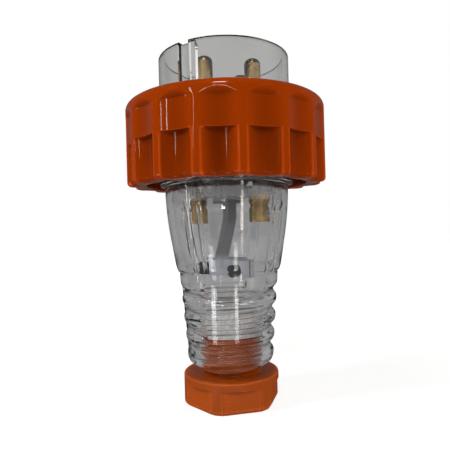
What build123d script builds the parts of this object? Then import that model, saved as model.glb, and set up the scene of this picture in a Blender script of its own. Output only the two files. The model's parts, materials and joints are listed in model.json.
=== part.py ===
from build123d import *
import os

# A weatherproof industrial plug, standing upright on its cable gland nut with its pins up.
# The axis of the plug is +Z and the origin is on that axis, on the flat face that it stands on.
# A clear front housing carries four round pins inside a keyed skirt. A scalloped lock ring turns
# freely round it. A clear rear shell screws onto the housing and holds the ring captive. Inside
# are a terminal carrier and a cranked cord clamp, and the shell ends in a compression gland.
# All sizes are in millimetres. Bearings are in degrees round the axis from the front (-Y),
# counted towards +X.

# Clearances
THREAD_CLEARANCE = 0.10
LOOSE_CLEARANCE = 0.30
OVERCUT = 1.0

# Gland nut
NUT_HEIGHT = 12.0
NUT_RADIUS = 19.4
NUT_FLAT_CUT = 3.2
NUT_COLLAR_HEIGHT = 2.8
NUT_FLAT_COUNT = 6
NUT_FLAT_BEARING = 13.0
NUT_EDGE_FILLET = 0.9
NUT_MOUTH_CHAMFER = 1.6
GLAND_THREAD_RADIUS = 12.5
GLAND_THREAD_LENGTH = 15.6
CABLE_BORE_RADIUS = 8.6

# Parts inside the gland
WASHER_THICKNESS = 1.5
WASHER_BORE_RADIUS = 9.1
SEAL_LENGTH = 8.5
SEAL_HEADROOM = 3.3
SEAL_BORE_RADIUS = 6.0
SEAL_CHAMFER = 1.2
GLAND_LIP_THICKNESS = 1.6
GLAND_LIP_RADIUS = 9.0

# Rear shell
NUT_GAP = 3.4
SHELL_LENGTH = 75.4
GLAND_WALL = 1.2
SHELL_FOOT_ROUNDING = 3.9
GRIP_THICKNESS = 3.95
GRIP_TAPER = 2.45
GRIP_RIB_COUNT = 5
FIRST_RIB_HEIGHT = 4.6
GRIP_RIB_PITCH = 7.3
GRIP_GROOVE_DEPTH = 1.6
GRIP_PANEL_COUNT = 3
GRIP_PANEL_BEARING = 67.0
GRIP_PANEL_ANGLE = 50.0
GRIP_WALL = 1.25
SHOULDER_STEP = 0.6
CONE_SWELL = 1.5
CONE_THICKENING = 0.1
CONE_WALL = 2.3
SHELL_FLANGE_REACH = 2.0
SHELL_FLANGE_THICKNESS = 3.0
SHELL_THREAD_RUNOUT = 1.5
STIFFENER_PAIRS = 4
STIFFENER_BEARING = -34.0
STIFFENER_SPREAD = 14.0
STIFFENER_WIDTH = 1.3
STIFFENER_HEIGHT = 0.9

# Front housing
SPIGOT_WALL = 2.4
SPIGOT_LENGTH = 10.0
BARREL_SHOULDER = 3.1
SHELL_SEAL_DEPTH = 2.0
SHELL_SEAL_WIDTH = 1.7
HOUSING_FLANGE_REACH = 3.0
HOUSING_FLANGE_THICKNESS = 3.5
SKIRT_RADIUS = 26.6
SKIRT_WALL = 2.2
SKIRT_ROOT_REACH = 0.4
RIM_FILLET = 0.5
FACE_RISE = 10.8
FACE_DEPTH = 29.8
FACE_THICKNESS = 5.2
KEY_WIDTH = 4.3
KEY_DEPTH = 2.6
KEY_WALL = 1.6
KEY_BEARING = -33.0
FACE_SEAL_WIDTH = 2.8
FACE_SEAL_HEIGHT = 2.6

# Lock ring
LOCK_RING_WALL = 7.3
LOCK_RING_HEIGHT = 32.5
LOCK_RING_SHOULDER = 3.0
LOCK_RING_SKIRT = 3.2
LOCK_RING_WEB = 3.5
LOCK_RING_PLAY = 0.7
LOCK_RING_REAR_LIP = 0.4
LOCK_RING_FREE_GAP = 3.3
LOCK_THREAD_HEIGHT = 1.3
LOCK_THREAD_LENGTH = 12.0
LOCK_RING_EDGE = 0.8
LOCK_MOUTH_CHAMFER = 1.4
SCALLOP_COUNT = 16
SCALLOP_BEARING = -2.85
SCALLOP_CHORD = 12.3
UPPER_SCALLOP_DEPTH = 1.6
LOWER_SCALLOP_DEPTH = 3.4
SCALLOP_TOP_MARGIN = 3.6
SCALLOP_ROOF_HEIGHT = 1.9
SCALLOP_STEP_HEIGHT = 16.2

# Pins and their terminals
PIN_COUNT = 4
PIN_RADIUS = 3.15
PIN_CIRCLE_RADIUS = 13.5
PIN_BEARING = KEY_BEARING
PIN_TIP_GAP = 2.3
PIN_TIP_ROUNDING = 0.75
PIN_ROOT_REACH = 0.5
PIN_COLLAR_REACH = 1.55
PIN_COLLAR_HEIGHT = 2.2
TERMINAL_SWELL = 0.75
TERMINAL_LENGTH = 10.6
TERMINAL_RISE = 11.4
TERMINAL_GROOVE_DEPTH = 0.45
TERMINAL_GROOVE_LENGTH = 3.6
TERMINAL_WALL = 1.7
WIRE_HOLE_DEPTH = 8.6
TERMINAL_SCREW_RADIUS = 1.5
TERMINAL_SCREW_LENGTH = 3.0
TERMINAL_SCREW_HEIGHT = 3.0
SCREW_SLOT_WIDTH = 0.7
SCREW_SLOT_DEPTH = 0.8

# Terminal carrier
CARRIER_THICKNESS = 5.0
CARRIER_WALL = 1.6
CARRIER_EDGE = 1.8
TERMINAL_EDGE = 0.9
CARRIER_HUB_RADIUS = 4.2
CARRIER_SCREW_COUNT = 2
CARRIER_SCREW_BEARING = PIN_BEARING + 45.0
CARRIER_SCREW_RADIUS = 1.4
CARRIER_SCREW_HEAD_RADIUS = 2.6
CARRIER_SCREW_HEAD_HEIGHT = 1.8
CARRIER_SCREW_REACH = 4.6
CARRIER_TUBE_WALL = 1.5
CARRIER_TUBE_LENGTH = 14.0
SCREW_CIRCLE_RADIUS = 13.5

# Locking screw of the shell
LOCKING_SCREW_RADIUS = 1.25
LOCKING_SCREW_LENGTH = 2.0
LOCKING_SCREW_BEARING = 20.0
LOCKING_SCREW_DROP = 4.9

# Cord clamp
CLAMP_BEARING = -50.0
CLAMP_HEIGHT = 6.6
CLAMP_BORE_RADIUS = 6.0
CLAMP_ARCH_WALL = 2.2
CLAMP_SPLIT = 0.8
CLAMP_EAR_REACH = 12.6
CLAMP_EAR_FRONT = 4.2
CLAMP_EAR_REAR = 2.4
CLAMP_SCREW_SPACING = 19.4
CLAMP_SCREW_HEIGHT = 2.7
CLAMP_SCREW_RADIUS = 1.5
CLAMP_SCREW_HEAD_RADIUS = 2.4
CLAMP_SCREW_HEAD_HEIGHT = 2.8
CLAMP_EDGE_FILLET = 0.6
ARM_LENGTH = 25.8
ARM_WIDTH = 3.2
ARM_DEPTH = 4.4
ARM_ROOT_OFFSET = 1.6
ARM_FOOT_OFFSET = 6.4
ARM_PLANE_OFFSET = 3.5
ARM_CRANK_DROP = 5.6
ARM_CRANK_HEIGHT = 15.8
ARM_PAD_THICKNESS = 3.0
ARM_PAD_REACH = 4.6
ARM_SCREW_OFFSET = 1.7
ARM_SCREW_RADIUS = 1.3
ARM_SCREW_REACH = 6.0
ARM_SCREW_HEAD_RADIUS = 2.2
ARM_SCREW_HEAD_HEIGHT = 1.6

# Radii that follow from others
NUT_ACROSS_FLATS = 2 * NUT_RADIUS - NUT_FLAT_CUT
SHELL_FOOT_RADIUS = GLAND_THREAD_RADIUS + GLAND_WALL
GRIP_LOW_RADIUS = SHELL_FOOT_RADIUS + GRIP_THICKNESS
GRIP_HIGH_RADIUS = GRIP_LOW_RADIUS + GRIP_TAPER
PIN_ROOT_RADIUS = PIN_RADIUS + PIN_ROOT_REACH
PIN_COLLAR_RADIUS = PIN_RADIUS + PIN_COLLAR_REACH
TERMINAL_RADIUS = PIN_RADIUS + TERMINAL_SWELL
WIRE_HOLE_RADIUS = TERMINAL_RADIUS - TERMINAL_WALL
CARRIER_RADIUS = PIN_CIRCLE_RADIUS + PIN_COLLAR_RADIUS + CARRIER_EDGE
TERMINAL_BORE_RADIUS = TERMINAL_RADIUS + LOOSE_CLEARANCE
TERMINAL_OFFSET = CARRIER_RADIUS - TERMINAL_EDGE - TERMINAL_BORE_RADIUS - PIN_CIRCLE_RADIUS
SPIGOT_BORE_RADIUS = CARRIER_RADIUS + LOOSE_CLEARANCE
SPIGOT_RADIUS = SPIGOT_BORE_RADIUS + SPIGOT_WALL
SHELL_THREAD_RADIUS = SPIGOT_RADIUS + THREAD_CLEARANCE
CONE_TOP_RADIUS = SHELL_THREAD_RADIUS + CONE_WALL + CONE_THICKENING
CONE_MIDDLE_RADIUS = CONE_TOP_RADIUS - CONE_SWELL
SHELL_FLANGE_RADIUS = CONE_TOP_RADIUS + SHELL_FLANGE_REACH
SHELL_SEAL_RADIUS = SHELL_THREAD_RADIUS + SHELL_SEAL_WIDTH / 2
BARREL_RADIUS = SPIGOT_RADIUS + BARREL_SHOULDER
SKIRT_ROOT_RADIUS = SKIRT_RADIUS + SKIRT_ROOT_REACH
HOUSING_FLANGE_RADIUS = SKIRT_RADIUS + HOUSING_FLANGE_REACH
LOCK_THREAD_ROOT_RADIUS = HOUSING_FLANGE_RADIUS + LOCK_RING_FREE_GAP
LOCK_RING_RADIUS = LOCK_THREAD_ROOT_RADIUS + LOCK_RING_WALL
LOCK_RING_REAR_RADIUS = LOCK_THREAD_ROOT_RADIUS - LOCK_RING_REAR_LIP

# Levels up the axis
SHELL_BOTTOM = NUT_HEIGHT + NUT_GAP
SHELL_TOP = SHELL_BOTTOM + SHELL_LENGTH
FLANGE_BOTTOM = SHELL_TOP - SHELL_FLANGE_THICKNESS
FIRST_RIB = SHELL_BOTTOM + FIRST_RIB_HEIGHT
GRIP_TOP = FIRST_RIB + (GRIP_RIB_COUNT - 0.5) * GRIP_RIB_PITCH
SPIGOT_BOTTOM = SHELL_TOP - SPIGOT_LENGTH
WASHER_BOTTOM = NUT_HEIGHT + GLAND_THREAD_LENGTH
SEAL_BOTTOM = WASHER_BOTTOM + WASHER_THICKNESS
SEAL_TOP = SEAL_BOTTOM + SEAL_LENGTH
GLAND_LIP_BOTTOM = SEAL_TOP + SEAL_HEADROOM
GLAND_LIP_TOP = GLAND_LIP_BOTTOM + GLAND_LIP_THICKNESS
WEB_BOTTOM = SHELL_TOP + LOOSE_CLEARANCE
WEB_TOP = WEB_BOTTOM + LOCK_RING_WEB
LOCK_RING_BOTTOM = WEB_BOTTOM - LOCK_RING_SKIRT
LOCK_RING_TOP = LOCK_RING_BOTTOM + LOCK_RING_HEIGHT
HOUSING_FLANGE_BOTTOM = WEB_TOP + LOCK_RING_PLAY
HOUSING_FLANGE_TOP = HOUSING_FLANGE_BOTTOM + HOUSING_FLANGE_THICKNESS
FACE_SEAL_TOP = HOUSING_FLANGE_TOP + FACE_SEAL_HEIGHT
FACE_TOP = HOUSING_FLANGE_TOP + FACE_RISE
SKIRT_TOP = FACE_TOP + FACE_DEPTH
FACE_BOTTOM = FACE_TOP - FACE_THICKNESS
CARRIER_TOP = FACE_BOTTOM - PIN_COLLAR_HEIGHT
CARRIER_BOTTOM = CARRIER_TOP - CARRIER_THICKNESS
TERMINAL_TOP = CARRIER_BOTTOM - CARRIER_TUBE_LENGTH
CLAMP_TOP = TERMINAL_TOP - ARM_LENGTH
CLAMP_BOTTOM = CLAMP_TOP - CLAMP_HEIGHT
LOCK_THREAD_BOTTOM = LOCK_RING_TOP - LOCK_THREAD_LENGTH
CLAMP_SCREW_LEVEL = CLAMP_BOTTOM + CLAMP_SCREW_HEIGHT

# Barrels, from the earth pin on: how far each stands outwards of its pin, and how much higher it ends
TERMINAL_PLACES = (
    (0.0, TERMINAL_RISE),
    (TERMINAL_OFFSET, 0.0),
    (0.0, TERMINAL_RISE),
    (TERMINAL_OFFSET, 0.0),
)


def turned(points, angle=360.0):
    """A solid turned round the axis from a closed outline of (radius, height) points."""
    outline = Polyline(*[(radius, 0, height) for radius, height in points], close=True)
    return revolve(make_face(outline), Axis.Z, angle)


def post(radius, bottom, top, x=0.0, y=0.0):
    """An upright cylinder between two heights."""
    standing = (Align.CENTER, Align.CENTER, Align.MIN)
    return Pos(x, y, bottom) * Cylinder(radius, top - bottom, align=standing)


def tube(outer, inner, bottom, top):
    """An upright ring between two heights."""
    return post(outer, bottom, top) - post(inner, bottom - OVERCUT, top + OVERCUT)


def block(x_range, y_range, z_range):
    """A box between pairs of limits."""
    low = (Align.MIN, Align.MIN, Align.MIN)
    size = [high - start for start, high in (x_range, y_range, z_range)]
    return Pos(x_range[0], y_range[0], z_range[0]) * Box(*size, align=low)


def at_bearing(shape, bearing):
    """The shape, drawn for the front of the plug, carried round the axis."""
    return Rot(0, 0, bearing) * shape


def bearings(count, first):
    """Evenly spaced bearings round the axis."""
    return [first + index * 360.0 / count for index in range(count)]


def repeated(shape, count, first):
    """Copies of a shape spaced evenly round the axis."""
    return [at_bearing(shape, bearing) for bearing in bearings(count, first)]


def front_screw(radius, start, length, head_radius, head_height, x, z):
    """A screw lying along Y whose head looks to the front, with a straight slot."""
    shank = Pos(x, start, z) * Rot(-90, 0, 0) * post(radius, 0, length)
    cap = Pos(x, start, z) * Rot(90, 0, 0) * post(head_radius, 0, head_height)
    slot_y = (start - head_height - OVERCUT, start - head_height + SCREW_SLOT_DEPTH)
    slot = block((x - head_radius, x + head_radius), slot_y,
                 (z - SCREW_SLOT_WIDTH / 2, z + SCREW_SLOT_WIDTH / 2))
    return shank + cap - slot


def upright_screw(radius, seat, reach, head_radius, head_height, x, y):
    """A screw standing on its head below the seat, with its shank upwards."""
    shank = post(radius, seat, seat + reach, x, y)
    cap = post(head_radius, seat - head_height, seat, x, y)
    slot_z = (seat - head_height - OVERCUT, seat - head_height + SCREW_SLOT_DEPTH)
    slot = block((x - head_radius, x + head_radius),
                 (y - SCREW_SLOT_WIDTH / 2, y + SCREW_SLOT_WIDTH / 2), slot_z)
    return shank + cap - slot


def grip_radius(height):
    """Outer radius of the shell's grip, between its foot and its shoulder."""
    share = (height - FIRST_RIB) / (GRIP_TOP - FIRST_RIB)
    return GRIP_LOW_RADIUS + share * (GRIP_HIGH_RADIUS - GRIP_LOW_RADIUS)


def rear_shell():
    """The clear shell: grip, cone and flange outside, wiring chamber and gland bore inside."""
    cone_bottom_radius = GRIP_HIGH_RADIUS + SHOULDER_STEP
    cone_middle = (GRIP_TOP + FLANGE_BOTTOM) / 2
    foot_round = SHELL_FOOT_RADIUS + SHELL_FOOT_ROUNDING / 2
    outside = [
        (0, SHELL_BOTTOM),
        (SHELL_FOOT_RADIUS, SHELL_BOTTOM),
        (foot_round, SHELL_BOTTOM + SHELL_FOOT_ROUNDING / 5),
        (grip_radius(SHELL_BOTTOM) - SHELL_FOOT_ROUNDING / 7, SHELL_BOTTOM + SHELL_FOOT_ROUNDING / 2),
        (grip_radius(FIRST_RIB), FIRST_RIB),
        (GRIP_HIGH_RADIUS, GRIP_TOP),
        (cone_bottom_radius, GRIP_TOP + SHOULDER_STEP),
        (CONE_MIDDLE_RADIUS, cone_middle),
        (CONE_TOP_RADIUS, FLANGE_BOTTOM),
        (SHELL_FLANGE_RADIUS, FLANGE_BOTTOM),
        (SHELL_FLANGE_RADIUS, SHELL_TOP),
        (0, SHELL_TOP),
    ]
    skin = GRIP_GROOVE_DEPTH + GRIP_WALL
    inside = [
        (0, GLAND_LIP_TOP),
        (grip_radius(GLAND_LIP_TOP) - skin, GLAND_LIP_TOP),
        (GRIP_HIGH_RADIUS - skin, GRIP_TOP),
        (cone_bottom_radius - CONE_WALL, GRIP_TOP + skin),
        (CONE_MIDDLE_RADIUS - CONE_WALL, cone_middle),
        (SHELL_THREAD_RADIUS, SPIGOT_BOTTOM - SHELL_THREAD_RUNOUT),
        (SHELL_THREAD_RADIUS, SHELL_TOP + OVERCUT),
        (0, SHELL_TOP + OVERCUT),
    ]
    body = turned(outside) - turned(inside)
    # the screwed bore of the gland, the lip over its seal and the seat of the housing's seal
    body -= post(GLAND_THREAD_RADIUS + THREAD_CLEARANCE, SHELL_BOTTOM - OVERCUT, GLAND_LIP_BOTTOM)
    body -= post(GLAND_LIP_RADIUS, SHELL_BOTTOM, GLAND_LIP_TOP + OVERCUT)
    body -= post(SHELL_SEAL_RADIUS + SHELL_SEAL_WIDTH / 2, SHELL_TOP - SHELL_SEAL_DEPTH, SHELL_TOP + OVERCUT)
    # grooves between rounded ribs, in panels round the grip
    for bearing in bearings(GRIP_PANEL_COUNT, GRIP_PANEL_BEARING):
        body -= Rot(0, 0, bearing - 90 - GRIP_PANEL_ANGLE / 2) * grip_grooves()
    # stiffeners up the inside of the cone
    low = GRIP_TOP + skin + STIFFENER_HEIGHT
    high = SPIGOT_BOTTOM - STIFFENER_HEIGHT
    rib_outline = Polyline(
        (0, -cone_bottom_radius + CONE_WALL + STIFFENER_HEIGHT, low),
        (0, -cone_bottom_radius + CONE_WALL / 2, low),
        (0, -CONE_MIDDLE_RADIUS + CONE_WALL / 2, cone_middle),
        (0, -SHELL_THREAD_RADIUS - CONE_WALL / 2, high),
        (0, -SHELL_THREAD_RADIUS + STIFFENER_HEIGHT, high),
        (0, -CONE_MIDDLE_RADIUS + CONE_WALL + STIFFENER_HEIGHT, cone_middle),
        close=True,
    )
    rib = extrude(make_face(rib_outline), STIFFENER_WIDTH / 2, both=True)
    for side in (-1, 1):
        body += repeated(rib, STIFFENER_PAIRS, STIFFENER_BEARING + side * STIFFENER_SPREAD / 2)
    # tapped hole of the locking screw
    return body - at_bearing(locking_screw_blank(THREAD_CLEARANCE, OVERCUT), LOCKING_SCREW_BEARING)


def grip_grooves():
    """The waved cutter that leaves rounded ribs in one panel of the grip."""
    wave = []
    for half in range(2 * GRIP_RIB_COUNT - 1):
        height = FIRST_RIB + half * GRIP_RIB_PITCH / 2
        depth = GRIP_GROOVE_DEPTH if half % 2 else 0
        wave.append((grip_radius(height) - depth, 0, height))
    profile = Spline(*wave, tangents=[(0, 0, 1), (0, 0, 1)])
    beyond = GRIP_HIGH_RADIUS + OVERCUT
    edges = [
        profile,
        Line(wave[-1], (beyond, 0, wave[-1][2])),
        Line((beyond, 0, wave[-1][2]), (beyond, 0, wave[0][2])),
        Line((beyond, 0, wave[0][2]), wave[0]),
    ]
    return revolve(make_face(edges), Axis.Z, GRIP_PANEL_ANGLE)


def locking_screw_blank(clearance, overcut):
    """The locking screw's outline at the front, opened up by the clearance for its hole."""
    start = -CONE_TOP_RADIUS - overcut
    length = LOCKING_SCREW_LENGTH + overcut
    height = SHELL_TOP - LOCKING_SCREW_DROP
    return Pos(0, start, height) * Rot(-90, 0, 0) * post(LOCKING_SCREW_RADIUS + clearance, 0, length)


def locking_screw():
    """A small grub screw in the shell wall, backed off clear of the housing."""
    height = SHELL_TOP - LOCKING_SCREW_DROP
    across = (-LOCKING_SCREW_RADIUS, LOCKING_SCREW_RADIUS)
    slot_y = (-CONE_TOP_RADIUS - OVERCUT, -CONE_TOP_RADIUS + SCREW_SLOT_DEPTH)
    slot = block(across, slot_y, (height - SCREW_SLOT_WIDTH / 2, height + SCREW_SLOT_WIDTH / 2))
    return at_bearing(locking_screw_blank(0, 0) - slot, LOCKING_SCREW_BEARING)


def gland_nut():
    """The compression nut: round collar, wrench flats and a screwed spigot with the cord bore."""
    nut = post(NUT_RADIUS, 0, NUT_HEIGHT)
    nut = fillet(nut.edges().group_by(Axis.Z)[-1], NUT_EDGE_FILLET / 2)
    nut = chamfer(nut.edges().group_by(Axis.Z)[0], NUT_EDGE_FILLET)
    # wrench flats under a round collar
    half_flat = NUT_ACROSS_FLATS / 2
    flat = block((-NUT_RADIUS, NUT_RADIUS), (-NUT_RADIUS - OVERCUT, -half_flat),
                 (-OVERCUT, NUT_HEIGHT - NUT_COLLAR_HEIGHT))
    nut -= repeated(flat, NUT_FLAT_COUNT, NUT_FLAT_BEARING)
    nut += post(GLAND_THREAD_RADIUS, NUT_HEIGHT / 2, WASHER_BOTTOM)
    nut -= post(CABLE_BORE_RADIUS, -OVERCUT, WASHER_BOTTOM + OVERCUT)
    mouth = nut.edges().filter_by(GeomType.CIRCLE).group_by(Axis.Z)[0].sort_by(SortBy.RADIUS)[0]
    return chamfer(mouth, NUT_MOUTH_CHAMFER)


def gland_washer():
    """The slip washer between the nut and the seal."""
    return tube(GLAND_THREAD_RADIUS - LOOSE_CLEARANCE, WASHER_BORE_RADIUS, WASHER_BOTTOM,
                WASHER_BOTTOM + WASHER_THICKNESS)


def cable_seal():
    """The rubber sleeve that the nut squeezes round the cord."""
    outer = GLAND_THREAD_RADIUS - LOOSE_CLEARANCE
    seal = tube(outer, SEAL_BORE_RADIUS, SEAL_BOTTOM, SEAL_TOP)
    rims = seal.edges().group_by(Axis.Z)
    return chamfer([rims[0].sort_by(SortBy.RADIUS)[-1], rims[-1].sort_by(SortBy.RADIUS)[-1]], SEAL_CHAMFER)


def front_housing():
    """The clear housing: skirt with keyway, face, flange, barrel and screwed spigot."""
    skirt_bore = SKIRT_RADIUS - SKIRT_WALL
    outline = [
        (SPIGOT_BORE_RADIUS, SPIGOT_BOTTOM),
        (SPIGOT_RADIUS, SPIGOT_BOTTOM),
        (SPIGOT_RADIUS, SHELL_TOP),
        (BARREL_RADIUS, SHELL_TOP),
        (BARREL_RADIUS, HOUSING_FLANGE_BOTTOM),
        (HOUSING_FLANGE_RADIUS, HOUSING_FLANGE_BOTTOM),
        (HOUSING_FLANGE_RADIUS, HOUSING_FLANGE_TOP),
        (SKIRT_ROOT_RADIUS, HOUSING_FLANGE_TOP),
        (SKIRT_ROOT_RADIUS, FACE_SEAL_TOP),
        (SKIRT_RADIUS, FACE_SEAL_TOP),
        (SKIRT_RADIUS, SKIRT_TOP),
        (skirt_bore, SKIRT_TOP),
        (skirt_bore, FACE_TOP),
        (0, FACE_TOP),
        (0, FACE_BOTTOM),
        (SPIGOT_BORE_RADIUS, FACE_BOTTOM),
    ]
    body = turned(outline)
    # keyway down the outside of the skirt, walled off inside it
    inner_face = -SKIRT_RADIUS + KEY_DEPTH + KEY_WALL
    half_boss = KEY_WIDTH / 2 + KEY_WALL
    boss = block((-half_boss, half_boss), (-SKIRT_RADIUS + SKIRT_WALL / 2, inner_face),
                 (FACE_TOP - OVERCUT, SKIRT_TOP))
    body += at_bearing(boss, KEY_BEARING)
    groove = block((-KEY_WIDTH / 2, KEY_WIDTH / 2), (-SKIRT_RADIUS - OVERCUT, inner_face - KEY_WALL),
                   (FACE_SEAL_TOP, SKIRT_TOP + OVERCUT))
    body -= at_bearing(groove, KEY_BEARING)
    body = fillet(body.edges().group_by(Axis.Z)[-1], RIM_FILLET)
    # holes for the pins and bosses for the screws of the carrier
    passage = post(PIN_ROOT_RADIUS + LOOSE_CLEARANCE, FACE_BOTTOM - OVERCUT, FACE_TOP + OVERCUT,
                   0, -PIN_CIRCLE_RADIUS)
    boss = post(CARRIER_SCREW_HEAD_RADIUS, CARRIER_TOP, FACE_BOTTOM + OVERCUT, 0, -SCREW_CIRCLE_RADIUS)
    hole = post(CARRIER_SCREW_RADIUS + THREAD_CLEARANCE, CARRIER_TOP - OVERCUT,
                CARRIER_TOP + CARRIER_SCREW_REACH + LOOSE_CLEARANCE, 0, -SCREW_CIRCLE_RADIUS)
    body -= repeated(passage, PIN_COUNT, PIN_BEARING)
    body += repeated(boss, CARRIER_SCREW_COUNT, CARRIER_SCREW_BEARING)
    body -= repeated(hole, CARRIER_SCREW_COUNT, CARRIER_SCREW_BEARING)
    return body


def housing_seal():
    """The ring seal between the shell and the housing."""
    return Pos(0, 0, SHELL_TOP - SHELL_SEAL_WIDTH / 2) * Torus(SHELL_SEAL_RADIUS, SHELL_SEAL_WIDTH / 2)


def face_seal():
    """The flat seal that the collar of the socket is pulled down on."""
    return tube(SKIRT_RADIUS + FACE_SEAL_WIDTH, SKIRT_ROOT_RADIUS + THREAD_CLEARANCE,
                HOUSING_FLANGE_TOP, FACE_SEAL_TOP)


def contact_pin(offset, rise):
    """One turned contact, drawn at the front: pin, root, collar and its wire barrel.

    The barrel stands outwards of the pin by the offset and ends higher by the rise.
    """
    pin = post(PIN_RADIUS, CARRIER_TOP, SKIRT_TOP - PIN_TIP_GAP)
    pin = fillet(pin.edges().group_by(Axis.Z)[-1], PIN_RADIUS * PIN_TIP_ROUNDING)
    pin += post(PIN_ROOT_RADIUS, CARRIER_TOP, FACE_TOP)
    pin += post(PIN_COLLAR_RADIUS, CARRIER_TOP, FACE_BOTTOM)
    bottom = TERMINAL_TOP - TERMINAL_LENGTH
    groove_top = TERMINAL_TOP - TERMINAL_GROOVE_LENGTH
    barrel = post(TERMINAL_RADIUS, bottom, CARRIER_TOP - rise)
    barrel -= tube(TERMINAL_RADIUS + OVERCUT, TERMINAL_RADIUS - TERMINAL_GROOVE_DEPTH,
                   groove_top - TERMINAL_GROOVE_LENGTH / 2, groove_top)
    barrel -= post(WIRE_HOLE_RADIUS, bottom - OVERCUT, bottom + WIRE_HOLE_DEPTH)
    barrel -= terminal_screw_blank(THREAD_CLEARANCE, OVERCUT)
    return Pos(0, -PIN_CIRCLE_RADIUS, 0) * (pin + Pos(0, -offset, rise) * barrel)


def terminal_screw_blank(clearance, overcut):
    """A terminal screw's outline in its barrel, opened up by the clearance for its hole."""
    height = TERMINAL_TOP - TERMINAL_LENGTH + TERMINAL_SCREW_HEIGHT
    start = -TERMINAL_RADIUS - overcut
    length = TERMINAL_SCREW_LENGTH + overcut + (WIRE_HOLE_RADIUS if overcut else 0)
    return Pos(0, start, height) * Rot(-90, 0, 0) * post(TERMINAL_SCREW_RADIUS + clearance, 0, length)


def terminal_screw(offset, rise):
    """One wire screw, drawn at the front, level with the side of its barrel."""
    height = TERMINAL_TOP - TERMINAL_LENGTH + TERMINAL_SCREW_HEIGHT
    across = (-TERMINAL_SCREW_RADIUS, TERMINAL_SCREW_RADIUS)
    slot = block(across, (-TERMINAL_RADIUS - OVERCUT, -TERMINAL_RADIUS + SCREW_SLOT_DEPTH),
                 (height - SCREW_SLOT_WIDTH / 2, height + SCREW_SLOT_WIDTH / 2))
    return Pos(0, -PIN_CIRCLE_RADIUS - offset, rise) * (terminal_screw_blank(0, 0) - slot)


def terminal_carrier():
    """The inner moulding: a plate under the pin collars, sleeves round the barrels and webs."""
    bore = TERMINAL_BORE_RADIUS
    body = post(CARRIER_RADIUS, CARRIER_BOTTOM, CARRIER_TOP)
    web = block((-CARRIER_WALL / 2, CARRIER_WALL / 2), (-PIN_CIRCLE_RADIUS, 0), (TERMINAL_TOP, CARRIER_TOP))
    body += repeated(web, PIN_COUNT, PIN_BEARING)
    body += post(CARRIER_HUB_RADIUS, TERMINAL_TOP, CARRIER_TOP)
    for bearing, (offset, rise) in zip(bearings(PIN_COUNT, PIN_BEARING), TERMINAL_PLACES):
        depth = -PIN_CIRCLE_RADIUS - offset
        body += at_bearing(post(bore + CARRIER_TUBE_WALL, TERMINAL_TOP, CARRIER_TOP, 0, depth), bearing)
        body -= at_bearing(post(bore, TERMINAL_TOP - OVERCUT, CARRIER_TOP + OVERCUT, 0, depth), bearing)
        # way in for the screwdriver, where the barrel ends inside its sleeve
        if rise:
            slot = block((-bore / 2, bore / 2), (-CARRIER_RADIUS - OVERCUT, depth),
                         (TERMINAL_TOP - OVERCUT, CARRIER_BOTTOM))
            body -= at_bearing(slot, bearing)
    body &= post(CARRIER_RADIUS, TERMINAL_TOP - OVERCUT, CARRIER_TOP + OVERCUT)
    hole = post(CARRIER_SCREW_RADIUS + THREAD_CLEARANCE, CARRIER_BOTTOM - OVERCUT, CARRIER_TOP + OVERCUT,
                0, -SCREW_CIRCLE_RADIUS)
    body -= repeated(hole, CARRIER_SCREW_COUNT, CARRIER_SCREW_BEARING)
    socket = post(ARM_SCREW_RADIUS + THREAD_CLEARANCE, TERMINAL_TOP - OVERCUT,
                  TERMINAL_TOP + ARM_SCREW_REACH - ARM_PAD_THICKNESS + LOOSE_CLEARANCE,
                  -ARM_SCREW_OFFSET, ARM_SCREW_OFFSET)
    return body - at_bearing(socket, CLAMP_BEARING)


def carrier_screw():
    """A screw that holds the carrier up against the pins, drawn at the front."""
    return upright_screw(CARRIER_SCREW_RADIUS, CARRIER_BOTTOM, CARRIER_THICKNESS + CARRIER_SCREW_REACH,
                         CARRIER_SCREW_HEAD_RADIUS, CARRIER_SCREW_HEAD_HEIGHT, 0, -SCREW_CIRCLE_RADIUS)


def clamp_jaws():
    """Both halves of the cord clamp in one piece, with the cord's bore through it."""
    ears = block((-CLAMP_EAR_REACH, CLAMP_EAR_REACH), (-CLAMP_EAR_FRONT, CLAMP_EAR_REAR),
                 (CLAMP_BOTTOM, CLAMP_TOP))
    ears = fillet(ears.edges().filter_by(Axis.Z), CLAMP_EDGE_FILLET)
    arch = post(CLAMP_BORE_RADIUS + CLAMP_ARCH_WALL, CLAMP_BOTTOM, CLAMP_TOP)
    jaws = ears + arch - post(CLAMP_BORE_RADIUS, CLAMP_BOTTOM - OVERCUT, CLAMP_TOP + OVERCUT)
    for x in (-CLAMP_SCREW_SPACING / 2, CLAMP_SCREW_SPACING / 2):
        hole = Pos(x, -CLAMP_EAR_REACH, CLAMP_SCREW_LEVEL) * Rot(-90, 0, 0)
        jaws -= hole * post(CLAMP_SCREW_RADIUS + THREAD_CLEARANCE, 0, 2 * CLAMP_EAR_REACH)
        head_room = CLAMP_EAR_REACH - CLAMP_EAR_FRONT
        jaws -= hole * post(CLAMP_SCREW_HEAD_RADIUS + LOOSE_CLEARANCE, 0, head_room)
    return jaws


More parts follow.
